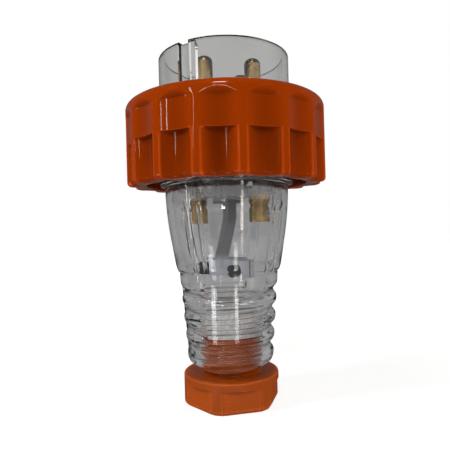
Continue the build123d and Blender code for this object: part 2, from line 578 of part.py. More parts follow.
def clamp_arm():
    """The front jaw with the cranked arm that hangs it from the terminal carrier."""
    far = 2 * CLAMP_EAR_REACH
    half_split = CLAMP_SPLIT / 2
    behind = block((-far, far), (-half_split, far), (CLAMP_BOTTOM - OVERCUT, CLAMP_TOP + OVERCUT))
    jaw = clamp_jaws() - behind
    half_depth = ARM_DEPTH / 2
    crank_top = TERMINAL_TOP - ARM_PAD_THICKNESS - ARM_CRANK_DROP
    crank_bottom = crank_top - ARM_CRANK_HEIGHT
    outline = Polyline(
        (0, -ARM_ROOT_OFFSET - half_depth, TERMINAL_TOP),
        (0, -ARM_ROOT_OFFSET - half_depth, crank_top),
        (0, -ARM_FOOT_OFFSET - half_depth, crank_bottom),
        (0, -ARM_FOOT_OFFSET - half_depth, CLAMP_TOP - ARM_PAD_THICKNESS),
        (0, -ARM_FOOT_OFFSET + half_depth, CLAMP_TOP - ARM_PAD_THICKNESS),
        (0, -ARM_FOOT_OFFSET + half_depth, crank_bottom),
        (0, -ARM_ROOT_OFFSET + half_depth, crank_top),
        (0, -ARM_ROOT_OFFSET + half_depth, TERMINAL_TOP),
        close=True,
    )
    arm = Pos(ARM_PLANE_OFFSET, 0, 0) * extrude(make_face(outline), ARM_WIDTH / 2, both=True)
    pad = block((-ARM_PAD_REACH, ARM_PLANE_OFFSET), (-ARM_ROOT_OFFSET - half_depth, ARM_PAD_REACH),
                (TERMINAL_TOP - ARM_PAD_THICKNESS, TERMINAL_TOP))
    pad -= post(ARM_SCREW_RADIUS + THREAD_CLEARANCE, CLAMP_TOP, TERMINAL_TOP + OVERCUT,
                -ARM_SCREW_OFFSET, ARM_SCREW_OFFSET)
    cord = post(CLAMP_BORE_RADIUS, CLAMP_BOTTOM - OVERCUT, CLAMP_TOP + ARM_PAD_THICKNESS)
    return at_bearing(jaw + arm + pad - cord, CLAMP_BEARING)


def clamp_saddle():
    """The rear jaw, pulled on by the two clamp screws."""
    far = 2 * CLAMP_EAR_REACH
    cut = block((-far, far), (-far, CLAMP_SPLIT / 2), (CLAMP_BOTTOM - OVERCUT, CLAMP_TOP + OVERCUT))
    return at_bearing(clamp_jaws() - cut, CLAMP_BEARING)


def clamp_screw(side):
    """One of the two screws across the clamp, on the side given as -1 or 1."""
    length = CLAMP_EAR_FRONT + CLAMP_EAR_REAR
    screw = front_screw(CLAMP_SCREW_RADIUS, -CLAMP_EAR_FRONT, length, CLAMP_SCREW_HEAD_RADIUS,
                        CLAMP_SCREW_HEAD_HEIGHT, side * CLAMP_SCREW_SPACING / 2, CLAMP_SCREW_LEVEL)
    return at_bearing(screw, CLAMP_BEARING)


def arm_screw():
    """The screw that holds the arm up to the hub of the carrier."""
    screw = upright_screw(ARM_SCREW_RADIUS, TERMINAL_TOP - ARM_PAD_THICKNESS, ARM_SCREW_REACH,
                          ARM_SCREW_HEAD_RADIUS, ARM_SCREW_HEAD_HEIGHT, -ARM_SCREW_OFFSET, ARM_SCREW_OFFSET)
    return at_bearing(screw, CLAMP_BEARING)


def scallop(depth, bottom, top, roof):
    """A cutter for one hollow, whose floor is part of a cylinder lying along the ring."""
    half = SCALLOP_CHORD / 2
    rim_sag = LOCK_RING_RADIUS - (LOCK_RING_RADIUS ** 2 - half ** 2) ** 0.5
    sagitta = depth - rim_sag
    floor_radius = (sagitta ** 2 + half ** 2) / (2 * sagitta)
    cutter = post(floor_radius, bottom, top, 0, -LOCK_RING_RADIUS + depth - floor_radius)
    if roof:
        cutter = chamfer(cutter.edges().group_by(Axis.Z)[-1], roof, depth)
    return cutter


def lock_ring():
    """The scalloped ring, with its rear opening, web and threaded bore."""
    ring = post(LOCK_RING_RADIUS, LOCK_RING_BOTTOM, LOCK_RING_TOP)
    ring = fillet(ring.edges().group_by(Axis.Z)[-1], LOCK_RING_SHOULDER)
    ring = fillet(ring.edges().group_by(Axis.Z)[0], LOCK_RING_EDGE)
    bore = LOCK_THREAD_ROOT_RADIUS - LOCK_THREAD_HEIGHT
    ring -= post(LOCK_RING_REAR_RADIUS, LOCK_RING_BOTTOM - OVERCUT, WEB_BOTTOM)
    ring -= post(BARREL_RADIUS + LOOSE_CLEARANCE, WEB_BOTTOM - OVERCUT, WEB_TOP + OVERCUT)
    ring -= post(LOCK_THREAD_ROOT_RADIUS, WEB_TOP, LOCK_THREAD_BOTTOM)
    ring -= post(bore, WEB_TOP, LOCK_RING_TOP + OVERCUT)
    mouth = ring.edges().filter_by(GeomType.CIRCLE).group_by(Axis.Z)[-1].sort_by(SortBy.RADIUS)[0]
    ring = chamfer(mouth, LOCK_MOUTH_CHAMFER)
    step = LOCK_RING_BOTTOM + SCALLOP_STEP_HEIGHT
    top = LOCK_RING_TOP - SCALLOP_TOP_MARGIN
    upper = scallop(UPPER_SCALLOP_DEPTH, step - OVERCUT, top, SCALLOP_ROOF_HEIGHT)
    lower = scallop(LOWER_SCALLOP_DEPTH, LOCK_RING_BOTTOM - OVERCUT, step, 0)
    ring -= repeated(upper, SCALLOP_COUNT, SCALLOP_BEARING)
    return ring - repeated(lower, SCALLOP_COUNT, SCALLOP_BEARING)


os.makedirs("parts", exist_ok=True)

pieces = {
    "rear_shell": rear_shell(),
    "shell_locking_screw": locking_screw(),
    "gland_nut": gland_nut(),
    "gland_washer": gland_washer(),
    "cable_seal": cable_seal(),
    "housing_seal": housing_seal(),
    "front_housing": front_housing(),
    "face_seal": face_seal(),
    "lock_ring": lock_ring(),
    "terminal_carrier": terminal_carrier(),
    "clamp_arm": clamp_arm(),
    "clamp_saddle": clamp_saddle(),
    "clamp_screw_left": clamp_screw(-1),
    "clamp_screw_right": clamp_screw(1),
    "clamp_arm_screw": arm_screw(),
}
pin_names = ("earth_pin", "line_pin_1", "line_pin_2", "line_pin_3")
screw_names = ("earth_terminal_screw", "terminal_screw_1", "terminal_screw_2", "terminal_screw_3")
for index, bearing in enumerate(bearings(PIN_COUNT, PIN_BEARING)):
    pieces[pin_names[index]] = at_bearing(contact_pin(*TERMINAL_PLACES[index]), bearing)
    pieces[screw_names[index]] = at_bearing(terminal_screw(*TERMINAL_PLACES[index]), bearing)
carrier_names = ("carrier_screw_left", "carrier_screw_right")
pieces.update(zip(carrier_names, repeated(carrier_screw(), CARRIER_SCREW_COUNT, CARRIER_SCREW_BEARING)))

for name, piece in pieces.items():
    export_step(piece, f"parts/{name}.step")
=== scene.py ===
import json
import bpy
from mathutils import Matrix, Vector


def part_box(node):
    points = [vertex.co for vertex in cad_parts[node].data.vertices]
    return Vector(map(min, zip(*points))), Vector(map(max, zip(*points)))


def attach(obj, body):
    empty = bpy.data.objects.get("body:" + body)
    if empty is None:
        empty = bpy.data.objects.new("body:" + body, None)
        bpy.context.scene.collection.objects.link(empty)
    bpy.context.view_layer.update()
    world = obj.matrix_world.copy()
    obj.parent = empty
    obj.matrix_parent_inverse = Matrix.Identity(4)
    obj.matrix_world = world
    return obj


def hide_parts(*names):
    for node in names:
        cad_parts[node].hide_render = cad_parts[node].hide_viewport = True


bl_info = {
    "name": "Industrial plug",
    "version": (1, 0, 0),
    "blender": (4, 5, 0),
    "location": "3D View > Sidebar > Plug",
    "description": "Dresses a clear weatherproof plug: lock ring, shell, gland nut, pins and finishes",
    "category": "Object",
}

from math import cos, degrees, pi, radians, sin, sqrt
from types import SimpleNamespace

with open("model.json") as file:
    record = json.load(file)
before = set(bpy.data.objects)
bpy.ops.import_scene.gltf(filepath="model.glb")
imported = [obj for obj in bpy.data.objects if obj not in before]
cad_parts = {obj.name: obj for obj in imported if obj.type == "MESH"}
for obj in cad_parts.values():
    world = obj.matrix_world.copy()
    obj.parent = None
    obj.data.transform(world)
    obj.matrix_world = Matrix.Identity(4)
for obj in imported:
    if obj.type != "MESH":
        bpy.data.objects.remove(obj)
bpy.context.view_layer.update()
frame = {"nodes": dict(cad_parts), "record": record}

import bpy
from bpy.props import FloatProperty, FloatVectorProperty, IntProperty, PointerProperty
from mathutils import Matrix, Vector

MM = 0.001

# Helpers for shapes that run round the plug's axis


def box_mm(node):
    """Lowest and highest corner of a CAD node, in millimetres."""
    low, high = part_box(node)
    return [value / MM for value in low], [value / MM for value in high]


def shape_values(settings):
    """A group's values for the shapes, with lengths in millimetres and angles in degrees."""
    values = {}
    for key in type(settings).__annotations__:
        value = getattr(settings, key)
        unit = settings.bl_rna.properties[key].unit
        if unit == "LENGTH":
            value /= MM
        elif unit == "ROTATION":
            value = degrees(value)
        values[key] = value
    return SimpleNamespace(**values)


def smooth_step(low, high, value):
    share = min(1.0, max(0.0, (value - low) / (high - low)))
    return share * share * (3 - 2 * share)


def soft_min(first, second, blend):
    """The smaller value, with the crease between the two rounded over a length."""
    if blend <= 0:
        return min(first, second)
    share = max(0.0, min(1.0, 0.5 + 0.5 * (second - first) / blend))
    return second * (1 - share) + first * share - blend * share * (1 - share)


def rounding_drop(radius, reach):
    """How far a rounded edge falls back, at a reach past the start of its rounding."""
    return radius - sqrt(max(0.0, radius**2 - reach**2))


def nearest_offset(bearing, first, pitch):
    """Degrees from a bearing to the nearest of a row of evenly spaced ones."""
    return (bearing - first + pitch / 2) % pitch - pitch / 2


def levels(*stretches):
    """Heights for a grid: each stretch is a start, an end and a count of steps."""
    heights = []
    for start, end, steps in stretches:
        first = 1 if heights and abs(heights[-1] - start) < 1e-6 else 0
        heights += [start + (end - start) * step / steps for step in range(first, steps + 1)]
    return heights


def through(points, height):
    """A smooth curve through (height, radius) points, for a moulded taper."""
    if height <= points[0][0]:
        return points[0][1]
    if height >= points[-1][0]:
        return points[-1][1]
    slopes = []
    for index in range(len(points)):
        low = points[max(0, index - 1)]
        high = points[min(len(points) - 1, index + 1)]
        slopes.append((high[1] - low[1]) / (high[0] - low[0]))
    for index in range(len(points) - 1):
        z0, r0 = points[index]
        z1, r1 = points[index + 1]
        if height <= z1:
            span = z1 - z0
            t = (height - z0) / span
            return (
                (2 * t**3 - 3 * t**2 + 1) * r0
                + (t**3 - 2 * t**2 + t) * span * slopes[index]
                + (3 * t**2 - 2 * t**3) * r1
                + (t**3 - t**2) * span * slopes[index + 1]
            )
    return points[-1][1]


def thread_depth(bearing, height, pitch):
    """Share of a rounded right-hand thread's depth at a point, from 0 at the crest to 1 at the root."""
    phase = (height / pitch - bearing / 360.0) % 1.0
    return 0.5 - 0.5 * cos(2 * pi * phase)


def even_bearings(columns):
    return [360.0 * column / columns for column in range(columns)]


def crowded_bearings(spots, reach, fine, coarse):
    """Bearings with fine steps within reach of some spots, coarse ones elsewhere, and one at each quarter."""
    bearings = []
    for quarter in range(4):
        start = 90.0 * quarter
        walk = [0.0]
        while walk[-1] < 90.0:
            away = min(abs(nearest_offset(start + walk[-1], spot, 360.0)) for spot in spots)
            walk.append(walk[-1] + (fine if away < reach else coarse))
        bearings += [start + 90.0 * step / walk[-1] for step in walk[:-1]]
    return bearings


def closed_grid(name, outline, bearings):
    """A closed skin round the axis. outline(bearing) gives its (radius, height) loop in millimetres."""
    loops = []
    for bearing in bearings:
        angle = radians(bearing - 90)
        loops.append([(r * MM * cos(angle), r * MM * sin(angle), z * MM) for r, z in outline(bearing)])
    count = len(loops[0])
    verts = [point for loop in loops for point in loop]
    faces = []
    for column in range(len(loops)):
        near = column * count
        far = (column + 1) % len(loops) * count
        for index in range(count):
            after = (index + 1) % count
            faces.append((near + index, far + index, far + after, near + after))
    mesh = bpy.data.meshes.new(name)
    mesh.from_pydata(verts, [], faces)
    mesh.update()
    mesh.shade_smooth()
    mesh.set_sharp_from_angle(angle=radians(40.0))
    piece = bpy.data.objects.new(name, mesh)
    bpy.context.collection.objects.link(piece)
    return piece


def place(piece, material, body, slot, *nodes):
    """Gives a finished piece its material and its body, and hides the CAD nodes that it stands for."""
    piece.data.materials.clear()
    piece.data.materials.append(bpy.data.materials[material])
    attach(piece, body)
    if nodes:
        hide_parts(*nodes)


# Sizes and colours that a user would change


def length(name, description, millimetres):
    return FloatProperty(
        name=name, description=description, default=millimetres * MM, unit="LENGTH", precision=4
    )


def turn(name, description, angle):
    return FloatProperty(name=name, description=description, default=radians(angle), subtype="ANGLE")


def tint(name, description, color):
    return FloatVectorProperty(name=name, description=description, default=color, subtype="COLOR")


class RingSettings(bpy.types.PropertyGroup):
    scallops: IntProperty(name="Scallops", description="Hollows round the lock ring", default=16, min=6)
    first_bearing: turn("First scallop", "Bearing of one hollow from the front", -2.85)
    chord: length("Scallop width", "Width of a hollow across its mouth", 12.3)
    upper_depth: length("Upper depth", "Depth of the upper part of a hollow", 1.6)
    lower_depth: length("Lower depth", "Depth of the lower part of a hollow", 3.4)
    step_height: length("Step height", "Height of the step above the ring's underside", 16.2)
    top_margin: length("Top margin", "Plain band above the hollows", 3.6)
    roof_height: length("Roof height", "Height over which a hollow runs out at its top", 1.9)
    shoulder: length("Shoulder", "Rounding of the top outer edge", 3.0)
    bottom_edge: length("Bottom edge", "Rounding of the bottom outer edge", 1.6)
    edge: length("Edge", "Rounding between hollows and lands", 0.8)
    wall: length("Wall", "From the ring's outside to the root of its thread", 7.3)
    thread_pitch: length("Thread pitch", "Pitch of the ring's inner thread", 4.0)
    thread_height: length("Thread height", "From the thread's root to its crest", 1.3)
    thread_length: length("Thread length", "Threaded stretch below the ring's top", 12.0)
    skirt: length("Skirt", "From the ring's underside up to its inner web", 3.2)
    web: length("Web", "Thickness of the inner web", 3.5)
    web_reach: length("Web reach", "How far the web stands in from the thread's root", 6.8)


class ShellSettings(bpy.types.PropertyGroup):
    grooves: IntProperty(name="Grooves", description="Grooves in a panel of the grip", default=4, min=1)
    groove_depth: length("Groove depth", "Depth of the grip's grooves", 1.6)
    rib_pitch: length("Rib pitch", "Distance between the grip's rounded ribs", 7.3)
    first_rib: length("First rib", "Height of the lowest rib above the shell's foot", 4.6)
    panel_width: turn("Panel", "Width of one grooved panel", 67.0)
    plain_front: turn("Plain front", "Middle of the plain strip between two panels", 7.0)
    panel_spacing: turn("Panel spacing", "From the plain front to the middle of a panel beside it", 68.5)
    thread_pitch: length("Gland thread pitch", "Pitch of the gland's thread", 2.0)
    stiffener_height: length("Stiffener", "Height of the ribs inside the shell", 0.9)
    stiffener_bearing: turn("Stiffener bearing", "Bearing of the middle of one pair of ribs", -34.0)
    stiffener_spread: turn("Stiffener spread", "From the middle of a pair to each of its ribs", 7.0)


class NutSettings(bpy.types.PropertyGroup):
    flat_bearing: turn("Flats", "Bearing of one wrench flat from the front", 13.0)
    flat_cut: length("Flat cut", "Depth of a wrench flat at its middle", 1.6)
    panel_depth: length("Panel depth", "Least depth of a flat's panel at its ends", 0.35)
    panel_half: turn("Panel half", "Half the width of the panel in a flat", 23.7)
    collar_top: length("Collar top", "Height of the round collar's top over the floor", 12.0)
    collar: length("Collar", "Height of the round collar over the flats", 2.8)


class FinishSettings(bpy.types.PropertyGroup):
    ring_orange: tint("Ring orange", "Colour of the glossy lock ring", (0.29, 0.033, 0.0001))
    nut_orange: tint("Nut orange", "Colour of the satin gland nut", (0.35, 0.057, 0.002))
    shell_tint: tint("Shell tint", "Tint of the clear shell", (0.92, 0.92, 0.925))
    skirt_tint: tint("Skirt tint", "Tint of the clear front housing", (0.98, 0.975, 0.96))
    carrier_tint: tint("Carrier tint", "Tint of the milky terminal carrier", (0.62, 0.62, 0.63))
    brass: tint("Brass", "Colour of the dull brass contacts", (0.30, 0.205, 0.085))
    steel: tint("Steel", "Colour of the plated screws", (0.55, 0.55, 0.56))
    black_steel: tint("Black steel", "Colour of the clamp's screws", (0.035, 0.035, 0.04))
    # Paler than the clamp's plastic: it makes up for light that the clear shell holds back, and the clamp's
    # finish paints shade over it.
    clamp_grey: tint("Clamp grey", "Colour of the cord clamp", (0.86, 0.91, 1.0))
    seal_grey: tint("Seal grey", "Colour of the pale seals", (0.42, 0.42, 0.41))
    face_rubber: tint("Face rubber", "Colour of the dark face seal", (0.035, 0.035, 0.035))


class StageSettings(bpy.types.PropertyGroup):
    distance: length("Camera distance", "From the camera to the plug's axis", 188.0)
    eye_height: length("Eye height", "Height of the camera over the floor", 69.7)
    focal_length: FloatProperty(
        name="Focal length", description="Lens of the camera on a 36 mm frame", default=36.3, unit="CAMERA"
    )
    frame_shift: FloatVectorProperty(
        name="Frame shift",
        description="Shift of the frame to the right and up, as a share of its width",
        default=(-0.0060, 0.0111),
        size=2,
    )
    lean: turn("Lean", "Lean of the upright plug in the picture to the left", 1.5)
    key_power: FloatProperty(
        name="Key light", description="Power that the lamps take their shares of", default=3.4, unit="POWER"
    )


SETTINGS = {
    "plug_ring": RingSettings,
    "plug_shell": ShellSettings,
    "plug_nut": NutSettings,
    "plug_finish": FinishSettings,
    "plug_stage": StageSettings,
}

# Heights that the lamps point at, and the kinds of ray that don't meet a lamp

AIM = 0.08
LOW_AIM = 0.04
SOFT = ("glossy", "transmission")
BRIGHT = ()
LOW = ("diffuse", "camera")
CLEAR_ONLY = ("diffuse", "glossy")

# Each lamp has a name, a place, the height it points at, its sides, its share of power, colour and rays

LAMPS = (
    ("key", (-0.64, -0.22, 0.54), AIM, (0.16, 0.22), 1.25, (1.0, 0.97, 0.93), SOFT),
    ("fill", (0.70, -0.22, 0.34), AIM, (0.22, 0.30), 0.95, (1.0, 0.96, 0.92), SOFT),
    ("back", (0.10, 0.60, 0.70), AIM, (0.50, 0.30), 0.40, (1.0, 1.0, 1.0), SOFT),
    ("window", (-0.34, -0.48, 0.24), AIM, (0.014, 0.10), 0.045, (1.0, 0.96, 0.90), BRIGHT),
    ("warm_strip", (0.075, -0.145, 0.032), AIM, (0.005, 0.050), 0.0012, (1.0, 0.86, 0.74), BRIGHT),
    ("low_window", (-0.05, -0.46, 0.03), AIM, (0.050, 0.016), 0.040, (1.0, 0.93, 0.85), BRIGHT),
    ("front_top", (-0.04, -0.42, 0.50), AIM, (0.11, 0.06), 0.34, (1.0, 0.97, 0.93), BRIGHT),
    ("left_glint", (-0.24, -0.07, 0.05), LOW_AIM, (0.010, 0.090), 0.006, (0.96, 0.98, 1.0), LOW),
    ("right_glint", (0.108, -0.218, 0.045), LOW_AIM, (0.015, 0.080), 0.010, (1.0, 0.90, 0.80), LOW),
    ("grip_glow_left", (-0.069, -0.098, 0.014), LOW_AIM, (0.020, 0.022), 0.0024, (0.97, 0.98, 1.0), LOW),
    ("grip_glow_right", (0.031, -0.116, 0.014), LOW_AIM, (0.014, 0.022), 0.0014, (1.0, 0.98, 0.96), LOW),
    ("foot_glow_left", (-0.046, -0.0655, 0.013), LOW_AIM, (0.014, 0.022), 0.0020, (0.97, 0.98, 1.0), LOW),
    ("foot_glow_right", (0.0207, -0.0773, 0.013), LOW_AIM, (0.010, 0.022), 0.0012, (1.0, 0.98, 0.96), LOW),
    ("clear_glare", (-0.24, -0.34, 0.54), AIM, (0.15, 0.18), 0.9, (0.97, 0.98, 1.0), CLEAR_ONLY),
)

# Finish of each material slot, and of the nodes that look different from others in their slot

FINISH_OF_SLOT = {
    "clear_plastic": "clear_skirt",
    "orange_gloss": "ring_orange",
    "orange_satin": "nut_orange",
    "pale_plastic": "pale_seal",
    "grey_plastic": "clamp_grey",
    "brass": "dull_brass",
    "steel": "plated_steel",
    "black_steel": "black_steel",
    "rubber": "soft_rubber",
    "pale_rubber": "pale_seal",
}
FINISH_OF_NODE = {
    "rear_shell": "clear_shell",
    "terminal_carrier": "milky_plastic",
}

# Shader groups that several finishes share


def new_group(name, inputs, outputs):
    """A shader node group with named sockets. Numbers make value inputs, and longer values colour inputs."""
    group = bpy.data.node_groups.new(name, "ShaderNodeTree")
    for label, default in inputs:
        kind = "NodeSocketFloat" if isinstance(default, float) else "NodeSocketColor"
        socket = group.interface.new_socket(name=label, in_out="INPUT", socket_type=kind)
        socket.default_value = default
    for label, kind in outputs:
        group.interface.new_socket(name=label, in_out="OUTPUT", socket_type=kind)
    entry = group.nodes.new("NodeGroupInput")
    result = group.nodes.new("NodeGroupOutput")
    return group, entry, result


def add_node(tree, kind, **values):
    """A node with its properties set by name, and its unlinked inputs by socket name."""
    node = tree.nodes.new(kind)
    for key, value in values.items():
        if hasattr(node, key):
            setattr(node, key, value)
        else:
            node.inputs[key.replace("_", " ").title()].default_value = value
    return node


def feed(tree, value, socket):
    """Links an output to a socket, or sets the socket to a plain value."""
    if hasattr(value, "is_output"):
        tree.links.new(value, socket)
    else:
        socket.default_value = value


def map_range(tree, source, low, high, start=0.0, end=1.0):
    node = tree.nodes.new("ShaderNodeMapRange")
    tree.links.new(source, node.inputs["Value"])
    for label, value in (("From Min", low), ("From Max", high), ("To Min", start), ("To Max", end)):
        feed(tree, value, node.inputs[label])
    return node.outputs["Result"]


def math_node(tree, operation, *values):
    node = tree.nodes.new("ShaderNodeMath")
    node.operation = operation
    for index, value in enumerate(values):
        feed(tree, value, node.inputs[index])
    return node.outputs[0]


def mix_color(tree, factor, first, second):
    node = tree.nodes.new("ShaderNodeMix")
    node.data_type = "RGBA"
    for socket, value in ((node.inputs[0], factor), (node.inputs[6], first), (node.inputs[7], second)):
        feed(tree, value, socket)
    return node.outputs[2]


def scale_color(tree, color, amount):
    node = tree.nodes.new("ShaderNodeVectorMath")
    node.operation = "SCALE"
    tree.links.new(color, node.inputs[0])
    tree.links.new(amount, node.inputs["Scale"])
    return node.outputs[0]


def object_noise(tree, scale, **values):
    """Noise fixed to the object. The scale is a plain number or an output."""
    noise = add_node(tree, "ShaderNodeTexNoise", **values)
    spot = tree.nodes.new("ShaderNodeTexCoord")
    tree.links.new(spot.outputs["Object"], noise.inputs["Vector"])
    feed(tree, scale, noise.inputs["Scale"])
    return noise.outputs["Fac"]


def object_axes(tree):
    """The three outputs of a surface point's own x, y and z."""
    spot = tree.nodes.new("ShaderNodeTexCoord")
    split = tree.nodes.new("ShaderNodeSeparateXYZ")
    tree.links.new(spot.outputs["Object"], split.inputs[0])
    return split.outputs


def build_tone_group():
    """Slow drift of a colour over a moulded surface."""
    group, entry, result = new_group(
        "moulded_tone",
        [("Color", (1, 1, 1, 1)), ("Drift", 0.1), ("Scale", 60.0)],
        [("Color", "NodeSocketColor")],
    )
    cloud = object_noise(group, entry.outputs["Scale"], detail=4.0, roughness=0.55)
    spread = map_range(group, cloud, 0.3, 0.7)
    drift = math_node(group, "MULTIPLY", spread, entry.outputs["Drift"])
    darker = math_node(group, "SUBTRACT", 1.0, drift)
    group.links.new(scale_color(group, entry.outputs["Color"], darker), result.inputs["Color"])


def build_wear_and_highlight_group():
    """A mask of convex edges broken into scattered fine patches: rubbed wear, and a painted highlight along
    the edges.
    """
    group, entry, result = new_group(
        "edge_wear_and_highlight",
        [("Amount", 0.5), ("Scale", 900.0), ("Break", 1.0)],
        [("Mask", "NodeSocketFloat")],
    )
    shape = group.nodes.new("ShaderNodeNewGeometry")
    edge = map_range(group, shape.outputs["Pointiness"], 0.51, 0.56)
    patches = object_noise(group, entry.outputs["Scale"], detail=6.0, roughness=0.7)
    gaps = math_node(group, "MULTIPLY", map_range(group, patches, 0.65, 0.45), entry.outputs["Break"])
    worn_and_lit_edges = math_node(group, "MULTIPLY", edge, math_node(group, "SUBTRACT", 1.0, gaps))
    mask = math_node(group, "MULTIPLY", worn_and_lit_edges, entry.outputs["Amount"])
    group.links.new(mask, result.inputs["Mask"])


def build_hollow_group():
    """Painted shade between two radii, strongest at one height and with a lesser share of it at another; a
    negative amount makes the colour paler instead.
    """
    group, entry, result = new_group(
        "hollow_shade",
        [
            ("Color", (1, 1, 1, 1)),
            ("Outer Radius", 0.040),
            ("Inner Radius", 0.037),
            ("Low", 0.088),
            ("Step", 0.104),
            ("Amount", 0.3),
            ("Grain", 0.0),
            ("Low Share", 0.0),
        ],
        [("Color", "NodeSocketColor")],
    )
    x, y, z = object_axes(group)
    squares = [math_node(group, "MULTIPLY", value, value) for value in (x, y)]
    reach = math_node(group, "SQRT", math_node(group, "ADD", *squares))
    deep = map_range(group, reach, entry.outputs["Outer Radius"], entry.outputs["Inner Radius"])
    at_height = map_range(
        group, z, entry.outputs["Low"], entry.outputs["Step"], entry.outputs["Low Share"], 1.0
    )
    specks = map_range(group, object_noise(group, 4200.0, detail=2.0), 0.60, 0.42)
    bare = math_node(group, "MULTIPLY", specks, entry.outputs["Grain"])
    deep = math_node(group, "MULTIPLY", deep, math_node(group, "SUBTRACT", 1.0, bare))
    deep = math_node(group, "MULTIPLY", deep, at_height)
    shade = math_node(group, "MULTIPLY", deep, entry.outputs["Amount"])
    kept = math_node(group, "SUBTRACT", 1.0, shade)
    group.links.new(scale_color(group, entry.outputs["Color"], kept), result.inputs["Color"])


def build_grain_group():
    """Fine height for a Bump node: grain of a mould, or lines left by turning."""
    group, entry, result = new_group(
        "fine_grain",
        [("Scale", 2500.0), ("Stretch", 1.0)],
        [("Height", "NodeSocketFloat")],
    )
    x, y, z = object_axes(group)
    join = group.nodes.new("ShaderNodeCombineXYZ")
    stretched = math_node(group, "MULTIPLY", z, entry.outputs["Stretch"])
    for index, value in enumerate((x, y, stretched)):
        group.links.new(value, join.inputs[index])
    noise = add_node(group, "ShaderNodeTexNoise", detail=3.0, roughness=0.6)
    group.links.new(join.outputs[0], noise.inputs["Vector"])
    group.links.new(entry.outputs["Scale"], noise.inputs["Scale"])
    group.links.new(noise.outputs["Fac"], result.inputs["Height"])


def build_smear_group():
    """Roughness of a handled, polished surface: a base value with smears and fine dust."""
    group, entry, result = new_group(
        "handling_smears",
        [("Base", 0.1), ("Smear", 0.1), ("Dust", 0.05)],
        [("Roughness", "NodeSocketFloat")],
    )
    smear = map_range(group, object_noise(group, 45.0, detail=5.0, roughness=0.6, distortion=1.2), 0.45, 0.7)
    dust = map_range(group, object_noise(group, 1400.0, detail=2.0), 0.62, 0.7)
    smear = math_node(group, "MULTIPLY", smear, entry.outputs["Smear"])
    dust = math_node(group, "MULTIPLY", dust, entry.outputs["Dust"])
    total = math_node(group, "ADD", math_node(group, "ADD", smear, dust), entry.outputs["Base"])
    group.links.new(total, result.inputs["Roughness"])


GROUP_BUILDERS = {
    "moulded_tone": build_tone_group,
    "edge_wear_and_highlight": build_wear_and_highlight_group,
    "hollow_shade": build_hollow_group,
    "fine_grain": build_grain_group,
    "handling_smears": build_smear_group,
}


def group_node(tree, name, **values):
    """A shared group in a material, built on its first use, with this material's own values."""
    if name not in bpy.data.node_groups:
        GROUP_BUILDERS[name]()
    node = tree.nodes.new("ShaderNodeGroup")
    node.node_tree = bpy.data.node_groups[name]
    for key, value in values.items():
        node.inputs[key].default_value = value
    return node


# Kinds of finish


def new_material(name):
    material = bpy.data.materials.new(name)
    material.use_nodes = True
    tree = material.node_tree
    return tree, tree.nodes["Principled BSDF"]


def add_smears(tree, shader, roughness, smear, dust):
    smears = group_node(tree, "handling_smears", Base=roughness, Smear=smear, Dust=dust)
    tree.links.new(smears.outputs["Roughness"], shader.inputs["Roughness"])


def add_grain(tree, shader, scale, stretch, strength, depth):
    grain = group_node(tree, "fine_grain", Scale=scale, Stretch=stretch)
    bump = tree.nodes.new("ShaderNodeBump")
    bump.inputs["Strength"].default_value = strength
    bump.inputs["Distance"].default_value = depth
    tree.links.new(grain.outputs["Height"], bump.inputs["Height"])
    tree.links.new(bump.outputs["Normal"], shader.inputs["Normal"])


def add_worn_and_lit_tone(tree, shader, tone, worn_and_lit_edges, worn_and_lit_color):
    mixed = mix_color(tree, worn_and_lit_edges.outputs["Mask"], tone.outputs["Color"], (*worn_and_lit_color, 1))
    tree.links.new(mixed, shader.inputs["Base Color"])


def moulded(name, color, drift, roughness, smear, grain, strength, specular, wear_and_highlight=0.4, gaps=1.0):
    """A moulded plastic or painted finish: drifting tone, worn edges lightened as rubbed wear and as a
    painted highlight, smears and grain.
    """
    tree, shader = new_material(name)
    tone = group_node(tree, "moulded_tone", Color=(*color, 1), Drift=drift, Scale=55.0)
    worn_and_lit_edges = group_node(tree, "edge_wear_and_highlight", Amount=wear_and_highlight, Break=gaps)
    rubbed_and_lit = [min(1.0, value * 2.3 + 0.012) for value in color]
    add_worn_and_lit_tone(tree, shader, tone, worn_and_lit_edges, rubbed_and_lit)
    add_smears(tree, shader, roughness, smear, 0.12)
    add_grain(tree, shader, grain, 1.0, strength, 0.2 * MM)
    shader.inputs["Specular IOR Level"].default_value = specular
    return tree, shader


def clear(name, color, roughness, smear, wave, strength):
    """A clear moulding with a slight tint, smears on its polish and waves from the mould."""
    tree, shader = new_material(name)
    tone = group_node(tree, "moulded_tone", Color=(*color, 1), Drift=0.08, Scale=70.0)
    tree.links.new(tone.outputs["Color"], shader.inputs["Base Color"])
    add_smears(tree, shader, roughness, smear, 0.10)
    add_grain(tree, shader, wave, 3.0, strength, 0.6 * MM)
    shader.inputs["Transmission Weight"].default_value = 1.0
    shader.inputs["IOR"].default_value = 1.47


def metal(name, color, drift, roughness, smear, turned):
    """A turned or plated metal with faint rings and a dull film."""
    tree, shader = new_material(name)
    tone = group_node(tree, "moulded_tone", Color=(*color, 1), Drift=drift, Scale=240.0)
    worn_and_lit_edges = group_node(tree, "edge_wear_and_highlight", Amount=0.8, Scale=1500.0)
    bright = [min(1.0, value * 1.5) for value in color]
    add_worn_and_lit_tone(tree, shader, tone, worn_and_lit_edges, bright)
    add_smears(tree, shader, roughness, smear, 0.1)
    add_grain(tree, shader, 500.0, turned, 0.25, 0.1 * MM)
    shader.inputs["Metallic"].default_value = 1.0


